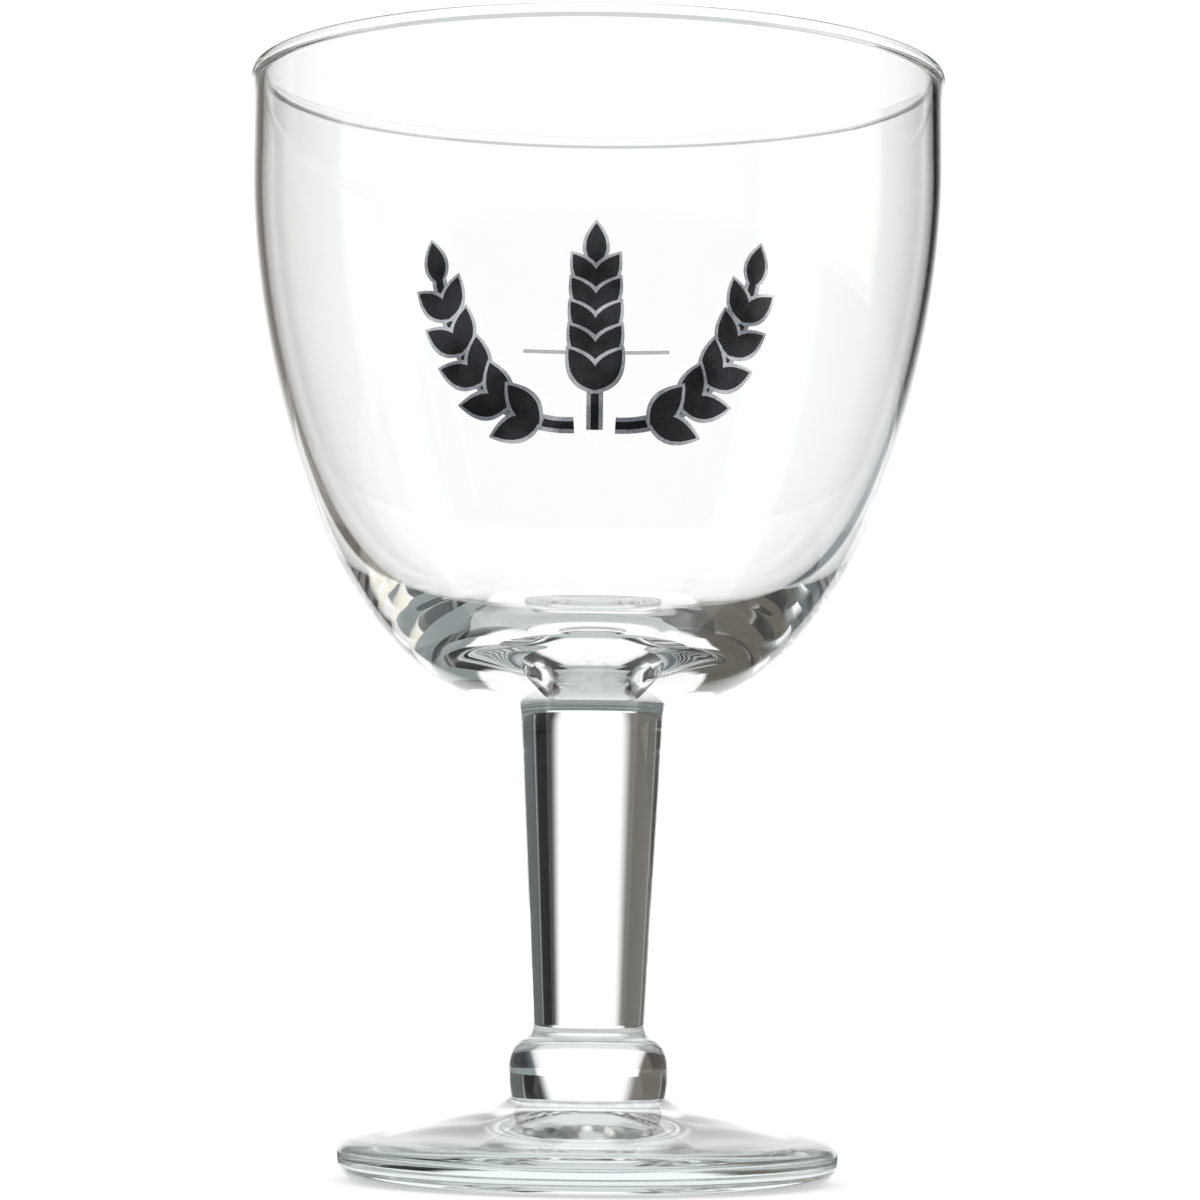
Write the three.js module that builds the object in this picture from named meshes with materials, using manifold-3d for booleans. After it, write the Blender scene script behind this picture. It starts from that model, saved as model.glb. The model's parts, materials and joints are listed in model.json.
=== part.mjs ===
// A stemmed tasting glass. A blown bowl, a pressed stem, a knop and a pressed foot are fused one above
// the other, and the bowl carries a fired print in two colours on its front and a fill line on its back.
// Millimetres, +Z up. The origin is on the table under the middle of the foot, and the front faces -Y.
import * as THREE from "three";
import { mergeVertices } from "three/addons/utils/BufferGeometryUtils.js";
import { TessellateModifier } from "three/addons/modifiers/TessellateModifier.js";
import Module from "manifold-3d";

// Foot: a shallow cone with a thick rounded edge, hollow underneath, standing on a flat ring
const FOOT_RADIUS = 33.4;
const FOOT_HEIGHT = 11.0;
const FOOT_CREASE_WIDTH = 3.6; // the hollow curve where the cone leaves the knop
const FOOT_CREASE_DROP = 1.5;
const FOOT_CREASE_SHARE = 1 / 3; // how near the knop the hollow curve turns up
const FOOT_EDGE_TOP = 5.5; // where the cone starts to round over
const FOOT_EDGE_ROUND = 2.4;
const FOOT_EDGE_MIDDLE = 3.3; // the height of the widest line
const FOOT_HEEL_ROUND = 3.4;
const FOOT_RING_WIDTH = 3.4;
const FOOT_HOLLOW_DEPTH = 2.2;

// Knop: a rounded collar under the stem
const KNOP_HEIGHT = 9.7;
const KNOP_RADIUS = 10.7;
const KNOP_SEAT_RADIUS = 10.35;
const KNOP_WIDEST_RISE = 3.4;
const KNOP_CROWN_RISE = 7.9; // where the round shoulder turns into the neck's cove
const KNOP_CROWN_RADIUS = 8.4;
const KNOP_SHOULDER_DROP = 1.0; // how steeply the shoulder comes up to the crown
const KNOP_COVE_LIFT = 0.4; // how steeply the cove leaves it

// Stem: a solid taper with a narrow shoulder against the bowl
const STEM_LENGTH = 43.0;
const STEM_BASE_RADIUS = 7.45;
const STEM_TOP_RADIUS = 9.6;
const SHOULDER_HEIGHT = 1.6;
const SHOULDER_PROUD = 0.25;
const SHOULDER_PULL_UP = 0.6; // how far up the shoulder it starts to flare
const SHOULDER_PULL_OUT = 0.4;

// Bowl: heights are measured up from the weld on the stem
const BOWL_HEIGHT = 85.6;
const BOWL_RADIUS = 46.9;
const BOWL_WIDEST_RISE = 72.6;
const BOWL_BELLY_REACH = 24.0; // how far the underside runs out level before it turns up
const BOWL_SIDE_REACH = 29.9; // how far the side runs down upright before it turns in
const RIM_TUCK = 0.1;
const WALL = 1.35;
const LIP_PROUD_OUTSIDE = 0.35;
const LIP_PROUD_INSIDE = 0.2;
const BASE_THICKNESS = 9.75; // solid glass under the edge of the floor
const FLOOR_RADIUS = 16.0;
const FLOOR_DISH = 1.2; // how much the floor's middle sinks
const FLOOR_CORNER_REACH = 18.9; // how far the floor's level runs on before it turns up into the wall
const INNER_SIDE_REACH = 25.2;

// Prints: fired enamel films on the outside of the bowl
const FILM_GAP = 0.05;
const FILM_THICKNESS = 0.12;
const OUTLINE_MARGIN = 0.55; // how far the silver ground shows round the black
const MOTIF_RISE = 44.8;
const GRAIN_ROOT = 0.5; // how far a grain's base is sunk into its stalk
const GRAIN_CUT = 0.3; // the line left open where one grain overlaps the next
const GRAIN_BELLY_SHARE = 0.42; // how far up a grain it is widest
const TIP_STALK_SHARE = 1 / 3; // how far the stalk runs into the grain at its tip
const FILL_LINE_RISE = 52.6; // the bowl holds 0.18 l up to here
const FILL_LINE_LENGTH = 22.0;
const FILL_LINE_WIDTH = 0.6;

// Barley ears: one upright in the motif's middle, and one curving out on each side of it
const STALK_WIDTH = 1.0;
const GRAIN_LENGTH = 6.2;
const GRAIN_WIDTH = 3.2;
const GRAIN_SPREAD = 0.6;
const GRAIN_TAPER = 0.2; // how much smaller the grain at the tip is than one at the stalk's foot
const GRAIN_PAIRS = 5;
const SIDE_BARE_SHARE = 0.17; // the share of the stalk below the first grains
const SIDE_START = new THREE.Vector2(2.6, -12.2);
const SIDE_START_PULL = new THREE.Vector2(10.5, -12.6);
const SIDE_END_PULL = new THREE.Vector2(17.6, -6.5);
const SIDE_END = new THREE.Vector2(20.4, 6.4);
const MIDDLE_BARE_SHARE = 0.26;
const MIDDLE_START = new THREE.Vector2(0, -12.8);
const MIDDLE_END = new THREE.Vector2(0, 8.2);

// How finely the round shapes are cut
const TURN_STEPS = 48;
const BOWL_STEPS = 14;
const INNER_STEPS = 16;
const CURVE_STEPS = 4;
const GRAIN_STEPS = 4;
const STALK_STEPS = 8;
const FILM_EDGE = 3.5;
const FILM_CUTS = 12;
const WALL_SEARCH_STEP = 1e-4;

const wasm = await Module();
wasm.setup();

const FRONT = 0;
const BACK = Math.PI;
const KNOP_SEAT_Z = FOOT_HEIGHT;
const STEM_FOOT_Z = KNOP_SEAT_Z + KNOP_HEIGHT;
const WELD_Z = STEM_FOOT_Z + STEM_LENGTH;
const WELD_RADIUS = STEM_TOP_RADIUS + SHOULDER_PROUD;

const glass = () =>
  new THREE.MeshStandardMaterial({ color: 0xe8f0ee, roughness: 0.03, transparent: true, opacity: 0.35 });
const silverInk = () => new THREE.MeshStandardMaterial({ color: 0x9a9fa3, roughness: 0.35, metalness: 0.4 });
const blackInk = () => new THREE.MeshStandardMaterial({ color: 0x121315, roughness: 0.3 });
const paleInk = () => new THREE.MeshStandardMaterial({ color: 0xc9cdd0, roughness: 0.4 });

function piece(name, geometry, material, height = 0) {
  const mesh = new THREE.Mesh(geometry, material);
  mesh.name = name;
  mesh.position.z = height;
  return mesh;
}

// A turned solid from an outline of radius and height that starts and ends on the axis
function turned(outline) {
  const points = outline.getPoints(CURVE_STEPS);
  return new THREE.LatheGeometry(points, TURN_STEPS).rotateX(Math.PI / 2);
}

function makeFoot() {
  const creaseRadius = KNOP_SEAT_RADIUS + FOOT_CREASE_WIDTH;
  const creaseHeight = FOOT_HEIGHT - FOOT_CREASE_DROP;
  const edgeRadius = FOOT_RADIUS - FOOT_EDGE_ROUND;
  const slope = (creaseHeight - FOOT_EDGE_TOP) / (edgeRadius - creaseRadius);
  const ringOuter = FOOT_RADIUS - FOOT_HEEL_ROUND;
  const ringInner = ringOuter - FOOT_RING_WIDTH;
  const outline = new THREE.Path();
  outline.moveTo(0, FOOT_HOLLOW_DEPTH);
  outline.quadraticCurveTo(ringInner / 2, FOOT_HOLLOW_DEPTH, ringInner, 0);
  outline.lineTo(ringOuter, 0);
  outline.quadraticCurveTo(FOOT_RADIUS, 0, FOOT_RADIUS, FOOT_EDGE_MIDDLE);
  outline.quadraticCurveTo(FOOT_RADIUS, FOOT_EDGE_TOP - slope * FOOT_EDGE_ROUND, edgeRadius, FOOT_EDGE_TOP);
  outline.lineTo(creaseRadius, creaseHeight);
  outline.quadraticCurveTo(
    KNOP_SEAT_RADIUS + FOOT_CREASE_WIDTH * FOOT_CREASE_SHARE,
    creaseHeight + slope * FOOT_CREASE_WIDTH * (1 - FOOT_CREASE_SHARE),
    KNOP_SEAT_RADIUS,
    FOOT_HEIGHT,
  );
  outline.lineTo(0, FOOT_HEIGHT);
  return piece("foot", turned(outline), glass());
}

function makeKnop() {
  const outline = new THREE.Path();
  outline.moveTo(0, 0);
  outline.lineTo(KNOP_SEAT_RADIUS, 0);
  outline.quadraticCurveTo(KNOP_RADIUS, KNOP_WIDEST_RISE / 2, KNOP_RADIUS, KNOP_WIDEST_RISE);
  outline.quadraticCurveTo(
    KNOP_RADIUS,
    KNOP_CROWN_RISE - KNOP_SHOULDER_DROP,
    KNOP_CROWN_RADIUS,
    KNOP_CROWN_RISE,
  );
  outline.quadraticCurveTo(
    STEM_BASE_RADIUS,
    KNOP_CROWN_RISE + KNOP_COVE_LIFT,
    STEM_BASE_RADIUS,
    KNOP_HEIGHT,
  );
  outline.lineTo(0, KNOP_HEIGHT);
  return piece("knop", turned(outline), glass(), KNOP_SEAT_Z);
}

function makeStem() {
  const shoulderStart = STEM_LENGTH - SHOULDER_HEIGHT;
  const outline = new THREE.Path();
  outline.moveTo(0, 0);
  outline.lineTo(STEM_BASE_RADIUS, 0);
  outline.lineTo(STEM_TOP_RADIUS, shoulderStart);
  outline.quadraticCurveTo(
    STEM_TOP_RADIUS + SHOULDER_PROUD * SHOULDER_PULL_OUT,
    shoulderStart + SHOULDER_HEIGHT * SHOULDER_PULL_UP,
    WELD_RADIUS,
    STEM_LENGTH,
  );
  outline.lineTo(0, STEM_LENGTH);
  return piece("stem", turned(outline), glass(), STEM_FOOT_Z);
}

// The outside of the bowl, from the weld out and up to the neck of the lip
const lipRadius = (WALL + LIP_PROUD_OUTSIDE + LIP_PROUD_INSIDE) / 2;
const lipRise = BOWL_HEIGHT - lipRadius;
const neckRadius = BOWL_RADIUS - RIM_TUCK;
const outsideAngle = -Math.acos(1 - LIP_PROUD_OUTSIDE / lipRadius);
const neckRise = lipRise + lipRadius * Math.sin(outsideAngle);
const widest = new THREE.Vector2(BOWL_RADIUS, BOWL_WIDEST_RISE);
const outerWall = new THREE.CurvePath();
outerWall.add(
  new THREE.CubicBezierCurve(
    new THREE.Vector2(WELD_RADIUS, 0),
    new THREE.Vector2(WELD_RADIUS + BOWL_BELLY_REACH, 0),
    new THREE.Vector2(BOWL_RADIUS, BOWL_WIDEST_RISE - BOWL_SIDE_REACH),
    widest,
  ),
);
outerWall.add(new THREE.LineCurve(widest, new THREE.Vector2(neckRadius, neckRise)));

function makeBowl() {
  const innerRadius = BOWL_RADIUS - WALL;
  const lipCentre = neckRadius + LIP_PROUD_OUTSIDE - lipRadius;
  const insideAngle = Math.PI + Math.acos(1 - LIP_PROUD_INSIDE / lipRadius);
  const lip = new THREE.EllipseCurve(lipCentre, lipRise, lipRadius, lipRadius, outsideAngle, insideAngle);
  const innerWall = new THREE.CubicBezierCurve(
    new THREE.Vector2(innerRadius, BOWL_WIDEST_RISE),
    new THREE.Vector2(innerRadius, BOWL_WIDEST_RISE - INNER_SIDE_REACH),
    new THREE.Vector2(FLOOR_RADIUS + FLOOR_CORNER_REACH, BASE_THICKNESS),
    new THREE.Vector2(FLOOR_RADIUS, BASE_THICKNESS),
  );
  const floor = new THREE.CubicBezierCurve(
    new THREE.Vector2(FLOOR_RADIUS, BASE_THICKNESS),
    new THREE.Vector2(FLOOR_RADIUS / 2, BASE_THICKNESS),
    new THREE.Vector2(FLOOR_RADIUS / 2, BASE_THICKNESS - FLOOR_DISH),
    new THREE.Vector2(0, BASE_THICKNESS - FLOOR_DISH),
  );
  const outline = [
    new THREE.Vector2(0, 0),
    ...outerWall.curves[0].getPoints(BOWL_STEPS),
    ...lip.getPoints(2 * CURVE_STEPS),
    ...innerWall.getPoints(INNER_STEPS),
    ...floor.getPoints(CURVE_STEPS).slice(1),
  ];
  return piece("bowl", new THREE.LatheGeometry(outline, TURN_STEPS).rotateX(Math.PI / 2), glass(), WELD_Z);
}

// A closed geometry as a solid that can be joined to others
function solidOf(geometry) {
  const bare = geometry.clone();
  bare.deleteAttribute("normal");
  bare.deleteAttribute("uv");
  const merged = mergeVertices(bare);
  return new wasm.Manifold(
    new wasm.Mesh({
      numProp: 3,
      vertProperties: new Float32Array(merged.attributes.position.array),
      triVerts: new Uint32Array(merged.index.array),
    }),
  );
}

function geometryOf(solid) {
  const mesh = solid.getMesh();
  const geometry = new THREE.BufferGeometry();
  geometry.setAttribute("position", new THREE.BufferAttribute(mesh.vertProperties, 3));
  geometry.setIndex(new THREE.BufferAttribute(mesh.triVerts, 1));
  return geometry;
}

function flatFilm(shape) {
  return new THREE.ExtrudeGeometry(shape, {
    depth: FILM_THICKNESS,
    bevelEnabled: false,
    curveSegments: GRAIN_STEPS,
  });
}

// How far along the outer wall a given rise above the weld lies
function alongWallAt(rise) {
  const length = outerWall.getLength();
  let low = 0;
  let high = length;
  while (high - low > WALL_SEARCH_STEP) {
    const middle = (low + high) / 2;
    if (outerWall.getPoint(middle / length).y < rise) low = middle;
    else high = middle;
  }
  return low;
}

// Lays a flat film on the bowl: x runs round it, y up along its wall from the given rise,
// and z outwards, with the film's back a given distance off the glass.
function wrapOnBowl(flat, rise, facing, offGlass) {
  const fine = new TessellateModifier(FILM_EDGE, FILM_CUTS).modify(flat);
  const geometry = mergeVertices(fine);
  const position = geometry.attributes.position;
  const length = outerWall.getLength();
  const start = alongWallAt(rise);
  for (let i = 0; i < position.count; i += 1) {
    const share = THREE.MathUtils.clamp((start + position.getY(i)) / length, 0, 1);
    const wall = outerWall.getPoint(share);
    const up = outerWall.getTangent(share);
    const out = offGlass + position.getZ(i);
    const radius = wall.x + up.y * out;
    const angle = facing + position.getX(i) / wall.x;
    position.setXYZ(i, radius * Math.sin(angle), -radius * Math.cos(angle), wall.y - up.x * out);
  }
  return geometry;
}

// A pointed grain that grows along +Y from its base, larger all round by a margin
function grainFilm(length, width, margin) {
  const base = -GRAIN_ROOT - margin;
  const tip = length + margin;
  const belly = base + (tip - base) * GRAIN_BELLY_SHARE;
  const reach = width + 2 * margin; // a curve's control point lies twice as far out as its belly
  const grain = new THREE.Shape();
  grain.moveTo(0, base);
  grain.quadraticCurveTo(reach, belly, 0, tip);
  grain.quadraticCurveTo(-reach, belly, 0, base);
  return flatFilm(grain);
}

// A ribbon along a curve that runs on into the grain at its tip
function stalkFilm(curve, margin) {
  const half = STALK_WIDTH / 2 + margin;
  const tipReach = GRAIN_LENGTH * (1 - GRAIN_TAPER) * TIP_STALK_SHARE;
  const left = [];
  const right = [];
  for (let i = 0; i <= STALK_STEPS; i += 1) {
    const point = curve.getPointAt(i / STALK_STEPS);
    const along = curve.getTangentAt(i / STALK_STEPS);
    if (i === 0) point.addScaledVector(along, -margin);
    if (i === STALK_STEPS) point.addScaledVector(along, tipReach);
    left.push(new THREE.Vector2(point.x - along.y * half, point.y + along.x * half));
    right.unshift(new THREE.Vector2(point.x + along.y * half, point.y - along.x * half));
  }
  return flatFilm(new THREE.Shape([...right, ...left]));
}

// A stalk with pairs of grains along it and one at its tip, joined into one flat film. Each pair
// lies over the next, and a cut leaves an open line between them.
function earFilm({ curve, bareShare }, margin, cut) {
  const grainAt = (share, turn, grown) => {
    const point = curve.getPointAt(share);
    const along = curve.getTangentAt(share);
    const angle = Math.atan2(along.y, along.x) - Math.PI / 2 + turn;
    const size = 1 - GRAIN_TAPER * share;
    const grain = grainFilm(GRAIN_LENGTH * size, GRAIN_WIDTH * size, grown);
    return solidOf(grain.rotateZ(angle).translate(point.x, point.y, 0));
  };
  const pairAt = (share, grown) =>
    grainAt(share, GRAIN_SPREAD, grown).add(grainAt(share, -GRAIN_SPREAD, grown));
  let film = grainAt(1, 0, margin);
  for (let i = GRAIN_PAIRS - 1; i >= 0; i -= 1) {
    const share = bareShare + ((1 - bareShare) * i) / GRAIN_PAIRS;
    if (cut > 0) film = film.subtract(pairAt(share, margin + cut));
    film = film.add(pairAt(share, margin));
  }
  return geometryOf(film.add(solidOf(stalkFilm(curve, margin))));
}

function sideEar(side) {
  const mirrored = (point) => new THREE.Vector2(side * point.x, point.y);
  const points = [SIDE_START, SIDE_START_PULL, SIDE_END_PULL, SIDE_END].map(mirrored);
  return { curve: new THREE.CubicBezierCurve(...points), bareShare: SIDE_BARE_SHARE };
}

function middleEar() {
  return { curve: new THREE.LineCurve(MIDDLE_START, MIDDLE_END), bareShare: MIDDLE_BARE_SHARE };
}

// Each ear has a silver ground and, over it, the black print that the ground outlines
function makePrint(name, ear) {
  const overGround = 2 * FILM_GAP + FILM_THICKNESS;
  const ground = wrapOnBowl(earFilm(ear, OUTLINE_MARGIN, 0), MOTIF_RISE, FRONT, FILM_GAP);
  const print = wrapOnBowl(earFilm(ear, 0, GRAIN_CUT), MOTIF_RISE, FRONT, overGround);
  return [
    piece(`${name}_ground`, ground, silverInk(), WELD_Z),
    piece(`${name}_print`, print, blackInk(), WELD_Z),
  ];
}

function makeFillLine() {
  const x = FILL_LINE_LENGTH / 2;
  const y = FILL_LINE_WIDTH / 2;
  const line = new THREE.Shape();
  line.moveTo(-x, -y).lineTo(x, -y).lineTo(x, y).lineTo(-x, y);
  const flat = flatFilm(line);
  flat.deleteAttribute("normal");
  flat.deleteAttribute("uv");
  return piece("fill_line", wrapOnBowl(flat, FILL_LINE_RISE, BACK, FILM_GAP), paleInk(), WELD_Z);
}

const tastingGlass = new THREE.Group();
tastingGlass.name = "tasting_glass";
tastingGlass.add(makeFoot(), makeKnop(), makeStem(), makeBowl());
tastingGlass.add(...makePrint("ear_left", sideEar(-1)));
tastingGlass.add(...makePrint("ear_middle", middleEar()));
tastingGlass.add(...makePrint("ear_right", sideEar(1)));
tastingGlass.add(makeFillLine());

export default tastingGlass;
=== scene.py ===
# %% [markdown]
# # A stemmed tasting glass
# A drinking glass is an unusual subject: it has hardly any colour of its own, and what we see is its
# surroundings bent by its shape. So this lesson spends its care on three things: outlines that are true,
# glass that is one clear body from foot to rim, and a studio with something dark for the glass to bend.
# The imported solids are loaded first. They fix every place and size, in metres with +Z up.

import json
import math

import bmesh
import bpy
from mathutils import Matrix, Vector

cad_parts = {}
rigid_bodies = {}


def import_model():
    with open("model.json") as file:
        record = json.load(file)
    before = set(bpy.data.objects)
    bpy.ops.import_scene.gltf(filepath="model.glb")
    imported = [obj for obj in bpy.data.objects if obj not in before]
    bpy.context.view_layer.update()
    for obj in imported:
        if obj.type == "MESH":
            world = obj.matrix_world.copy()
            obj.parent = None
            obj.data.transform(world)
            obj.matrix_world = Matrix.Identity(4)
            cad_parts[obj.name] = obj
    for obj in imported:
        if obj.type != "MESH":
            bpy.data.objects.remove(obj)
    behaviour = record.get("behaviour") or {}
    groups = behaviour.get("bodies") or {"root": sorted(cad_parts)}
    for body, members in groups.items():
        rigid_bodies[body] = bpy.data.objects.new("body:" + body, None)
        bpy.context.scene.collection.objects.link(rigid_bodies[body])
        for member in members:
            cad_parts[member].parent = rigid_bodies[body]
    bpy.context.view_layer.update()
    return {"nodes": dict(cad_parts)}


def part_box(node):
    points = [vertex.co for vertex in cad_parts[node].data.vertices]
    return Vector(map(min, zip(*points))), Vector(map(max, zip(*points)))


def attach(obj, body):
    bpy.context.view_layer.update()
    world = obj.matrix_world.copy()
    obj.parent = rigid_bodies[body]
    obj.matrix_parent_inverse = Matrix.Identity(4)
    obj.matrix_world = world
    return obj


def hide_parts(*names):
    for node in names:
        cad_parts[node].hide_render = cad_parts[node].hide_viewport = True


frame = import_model()
scene = bpy.context.scene
MM = 0.001
print("solids:", ", ".join(sorted(frame["nodes"])))

# %% [markdown]
# ## Camera
# The photograph looks at the glass from a little above the table, with the lens tipped up slightly and
# turned by about half a degree. A long lens keeps the rim's ellipse narrow. The camera is placed by its
# real distance and height, so that the same numbers hold for a glass that stands on a table.

# %% Camera
CAMERA_DISTANCE = 554.7 * MM
CAMERA_HEIGHT = 37.07 * MM
CAMERA_ASIDE = 0.92 * MM
CAMERA_PITCH = math.radians(4.19)
CAMERA_ROLL = math.radians(0.6)
LENS = 123.57
SENSOR = 36.0
NEAREST_SEEN = 10 * MM

camera = bpy.data.objects.new("camera", bpy.data.cameras.new("camera"))
scene.collection.objects.link(camera)
scene.camera = camera
camera.data.lens = LENS
camera.data.sensor_width = SENSOR
camera.data.clip_start = NEAREST_SEEN
camera.matrix_world = (
    Matrix.Translation((CAMERA_ASIDE, -CAMERA_DISTANCE, CAMERA_HEIGHT))
    @ Matrix.Rotation(math.pi / 2 + CAMERA_PITCH, 4, "X")
    @ Matrix.Rotation(CAMERA_ROLL, 4, "Z")
)
print("camera stands", round(CAMERA_DISTANCE / MM), "mm from the glass")

# %% [markdown]
# ## Writing node trees as sums
# A material or a geometry tree is a long list of nodes and links. One small class keeps it readable: a Wire
# is the output of a node, and a sum on wires adds the Math nodes for it. Every other node is made by
# Wire.made, which takes the node's type, its settings, and what goes into its sockets.

# %% Wire
def socket_of(sockets, name):
    if isinstance(name, int):
        return sockets[name]
    return next(s for s in sockets if s.name == name and s.enabled)


class Wire:
    def __init__(self, socket):
        self.socket = socket

    @classmethod
    def made(cls, tree, kind, settings=None, sockets=None, output=0):
        node = tree.nodes.new(kind)
        for name, value in (settings or {}).items():
            setattr(node, name, value)
        for name, value in (sockets or {}).items():
            target = socket_of(node.inputs, name)
            for part in value if isinstance(value, list) else [value]:
                if isinstance(part, Wire):
                    tree.links.new(part.socket, target)
                else:
                    target.default_value = part
        if not node.outputs:
            return None
        return cls(socket_of(node.outputs, output))

    def beside(self, output):
        return Wire(socket_of(self.socket.node.outputs, output))

    def math(self, operation, *terms):
        tree = self.socket.id_data
        return Wire.made(tree, "ShaderNodeMath", {"operation": operation}, dict(enumerate(terms)))

    def __add__(self, other):
        return self.math("ADD", self, other)

    def __radd__(self, other):
        return self.math("ADD", other, self)

    def __sub__(self, other):
        return self.math("SUBTRACT", self, other)

    def __rsub__(self, other):
        return self.math("SUBTRACT", other, self)

    def __mul__(self, other):
        return self.math("MULTIPLY", self, other)

    def __rmul__(self, other):
        return self.math("MULTIPLY", other, self)

    def __truediv__(self, other):
        return self.math("DIVIDE", self, other)

    def __rtruediv__(self, other):
        return self.math("DIVIDE", other, self)

    def __pow__(self, other):
        return self.math("POWER", self, other)


def split(tree, vector):
    x = Wire.made(tree, "ShaderNodeSeparateXYZ", None, {"Vector": vector}, "X")
    return x, x.beside("Y"), x.beside("Z")


def joined(tree, x, y, z):
    return Wire.made(tree, "ShaderNodeCombineXYZ", None, {"X": x, "Y": y, "Z": z})


def eased(tree, value, start, end):
    """0 at the start, 1 at the end, and a smooth change between."""
    limits = {"Value": value, "From Min": start, "From Max": end}
    return Wire.made(tree, "ShaderNodeMapRange", {"interpolation_type": "SMOOTHSTEP"}, limits)


def mixed(tree, factor, first, second):
    sockets = {"Factor": factor, "A": first, "B": second}
    return Wire.made(tree, "ShaderNodeMix", {"data_type": "RGBA"}, sockets, "Result")


print("wires ready")

# %% [markdown]
# ## The studio
# Clear glass on white is lit from behind: a bright surround shows through the middle of each curve, and
# dark cards out at the sides show only where the glass bends the view far round. They draw the dark bands
# that give the stem, the knop and the solid base their shape. The floor is a plain pale table. It glows a
# little, as a light table does, so that the shadow under the foot stays soft and pale. A white world and one
# disc are enough for both.

# %% Surround and floor
SURROUND_STRENGTH = 1.16
FLOOR_REACH = 3.0
FLOOR_DROP = 0.2 * MM
FLOOR_PALE = (0.64, 0.64, 0.64, 1.0)
WHITE = (1.0, 1.0, 1.0, 1.0)
FLOOR_GLOW = 0.48
CIRCLE_STEPS = 96
LIGHT_BOUNCES = 128

scene.view_settings.view_transform = "Standard"
scene.cycles.max_bounces = LIGHT_BOUNCES
scene.cycles.glossy_bounces = LIGHT_BOUNCES
scene.cycles.transmission_bounces = LIGHT_BOUNCES
scene.cycles.transparent_max_bounces = LIGHT_BOUNCES

world = bpy.data.worlds.new("surround")
scene.world = world
world.use_nodes = True
world.node_tree.nodes.clear()
white_glow = {"Color": WHITE, "Strength": SURROUND_STRENGTH}
glow = Wire.made(world.node_tree, "ShaderNodeBackground", None, white_glow)
Wire.made(world.node_tree, "ShaderNodeOutputWorld", None, {"Surface": glow})


def new_material(name):
    material = bpy.data.materials.new(name)
    material.use_nodes = True
    material.node_tree.nodes.clear()
    return material


def new_object(name, points, faces, material=None):
    mesh = bpy.data.meshes.new(name)
    mesh.from_pydata(points, [], faces)
    if material:
        mesh.materials.append(material)
    item = bpy.data.objects.new(name, mesh)
    scene.collection.objects.link(item)
    return item


def surfaced(material, **sockets):
    tree = material.node_tree
    plain = {name.replace("_", " "): value for name, value in sockets.items()}
    surface = Wire.made(tree, "ShaderNodeBsdfPrincipled", None, plain)
    Wire.made(tree, "ShaderNodeOutputMaterial", None, {"Surface": surface})
    return material


def on_circle(radius, angle, height):
    return (radius * math.sin(angle), radius * math.cos(angle), height)


floor_paint = surfaced(
    new_material("pale_floor"),
    Base_Color=FLOOR_PALE,
    Specular_IOR_Level=0.0,
    Emission_Color=WHITE,
    Emission_Strength=FLOOR_GLOW,
)
floor_angles = [math.tau * i / CIRCLE_STEPS for i in range(CIRCLE_STEPS)]
floor_edge = [on_circle(FLOOR_REACH, angle, -FLOOR_DROP) for angle in floor_angles]
floor = new_object("floor", floor_edge[::-1], [list(range(CIRCLE_STEPS))], floor_paint)
print("floor reaches", FLOOR_REACH, "m")

# %% [markdown]
# ## Cards
# In a studio the dark edges of clear glass come from sheets of card: black and brown ones at the sides, grey
# ones on the table, and pale ones under the ceiling. A photographer leaves the cards where they are and turns
# the glass, so the cards hang on a stand that keeps facing the camera. Each card is a curved sheet that glows
# in its own shade and fades out at both ends, as card does when it is far out of focus. Area lights could
# bring brightness, but not darkness. Only what goes through the glass or off it meets a card.

# %% Cards round the glass
CARD_DISTANCE = 1.8
CARD_FOOT = -0.1
CARD_TOP = 0.9
TABLE_CARD_START = 36 * MM
TABLE_CARD_LIFT = 1 * MM
NEAR_CARD_LIFT = 2 * MM
NEAR_CARD_END = 180 * MM
CARD_STEPS = 48
CEILING = 1.6
CEILING_EDGE = 0.6
NO_FADE = 0.0001
ALL_ROUND = (0, 360)
BLACK = (0.01, 0.01, 0.012)
BROWN = (0.165, 0.15, 0.13)
SLATE = (0.14, 0.17, 0.175)
LEAD = (0.11, 0.125, 0.13)
INK = (0.05, 0.055, 0.06)
BARK = (0.09, 0.08, 0.068)
MIST = (0.3, 0.34, 0.345)
OAK = (0.15, 0.135, 0.11)
DIM = (0.04, 0.04, 0.04)
SMOKE = (0.3, 0.3, 0.3)
TEAL = (0.16, 0.2, 0.2)
UMBER = (0.05, 0.042, 0.036)
PEARL = (0.72, 0.74, 0.74)
ASH = (0.34, 0.37, 0.37)
CREAM = (1.1, 1.06, 0.92)
UPRIGHT_CARDS = {
    "card_right": {"low": (23, 49), "high": (8, 49), "shade": BLACK, "soft": 0.28},
    "card_right_outer": {"low": (43, 76), "high": (43, 76), "shade": LEAD, "soft": 0.08},
    "card_right_side": {"low": (76, 122), "high": (76, 122), "shade": CREAM, "soft": 0.04},
    "card_left": {"low": (-64, -19), "high": (-64, -11), "shade": BROWN, "soft": 0.2},
    "card_left_outer": {"low": (-94, -57), "high": (-94, -57), "shade": UMBER, "soft": 0.08},
    "card_left_side": {"low": (-130, -84), "high": (-130, -84), "shade": SLATE, "soft": 0.06},
    "card_front": {"low": (118, 240), "high": (118, 240), "shade": SMOKE, "soft": 0.08},
}
TABLE_CARDS = {
    "table_card_right": {"angles": (26, 102), "shade": MIST, "soft": 0.05},
    "table_card_left": {"angles": (-102, -26), "shade": OAK, "soft": 0.05},
    "table_card_front": {"angles": (115, 255), "shade": DIM, "soft": 0.1},
}
NEAR_TABLE_CARDS = {
    "table_near_right": {"angles": (20, 104), "shade": INK, "soft": 0.2},
    "table_near_left": {"angles": (-104, -20), "shade": BARK, "soft": 0.2},
}
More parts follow.
